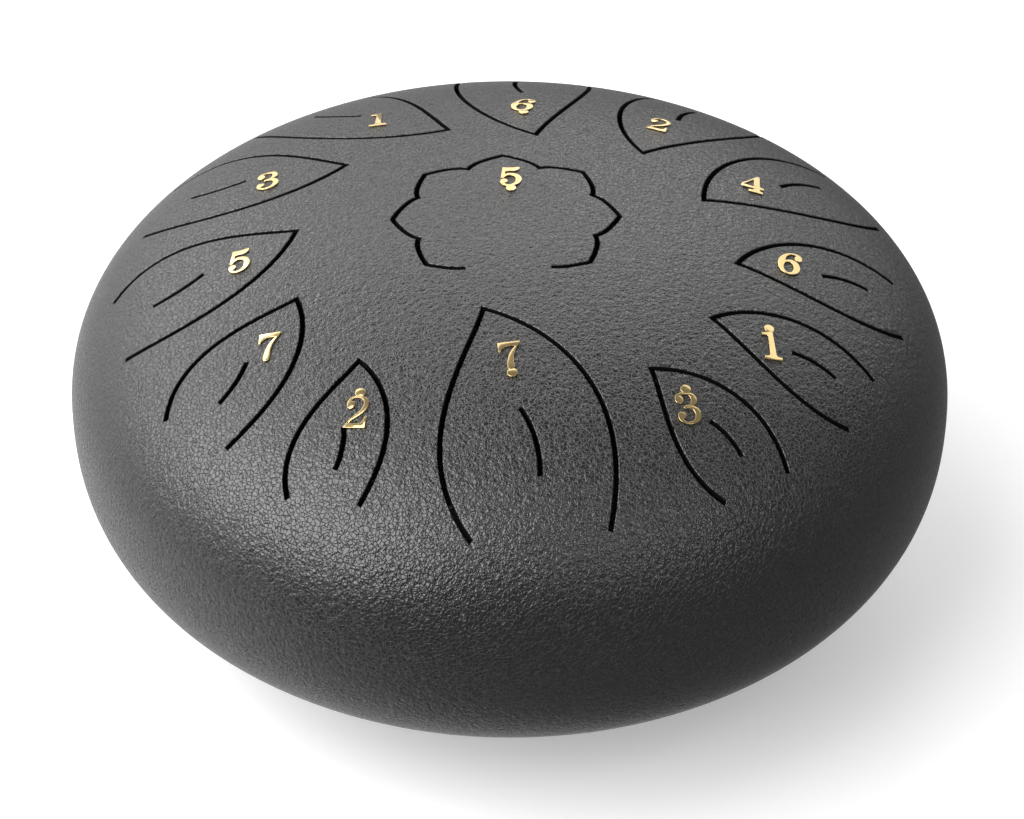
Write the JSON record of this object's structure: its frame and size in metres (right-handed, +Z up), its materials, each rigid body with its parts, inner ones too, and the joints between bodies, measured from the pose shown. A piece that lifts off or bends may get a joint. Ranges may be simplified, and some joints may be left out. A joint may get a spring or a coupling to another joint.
{
  "type": "steel tongue drum",
  "caption": "Round steel tongue drum: two pressed bowls welded at the waist, leaf-shaped tongues round a lotus-shaped one, stick-on numerals, sound hole and rubber feet.",
  "frame": {"origin": "on the drum's axis, in the plane that the three feet stand on", "axes": "+Z up along the drum's axis; -Y towards the player; +X to the player's right"},
  "size_m": [0.305, 0.305, 0.1535],
  "materials": {
    "shell_coat": "charcoal wrinkle powder coat, semi-gloss on the grain",
    "numeral_brass": "pale gold plated, polished rims",
    "foot_rubber": "matt black moulded",
    "fastener_steel": "zinc plated"
  },
  "bodies": {
    "root": {"top_shell": "shell_coat", "bottom_shell": "shell_coat", "waist_weld": "shell_coat", "numeral_5_low": "numeral_brass", "numeral_6_low": "numeral_brass", "numeral_2": "numeral_brass", "numeral_4": "numeral_brass", "numeral_6": "numeral_brass", "numeral_1_high": "numeral_brass", "numeral_3_high": "numeral_brass", "numeral_7_low": "numeral_brass", "numeral_2_high": "numeral_brass", "numeral_7": "numeral_brass", "numeral_5": "numeral_brass", "numeral_3": "numeral_brass", "numeral_1": "numeral_brass", "foot_1": "foot_rubber", "foot_bolt_1": "fastener_steel", "foot_washer_1": "fastener_steel", "foot_nut_1": "fastener_steel", "foot_2": "foot_rubber", "foot_bolt_2": "fastener_steel", "foot_washer_2": "fastener_steel", "foot_nut_2": "fastener_steel", "foot_3": "foot_rubber", "foot_bolt_3": "fastener_steel", "foot_washer_3": "fastener_steel", "foot_nut_3": "fastener_steel"}
  },
  "joints": []
}
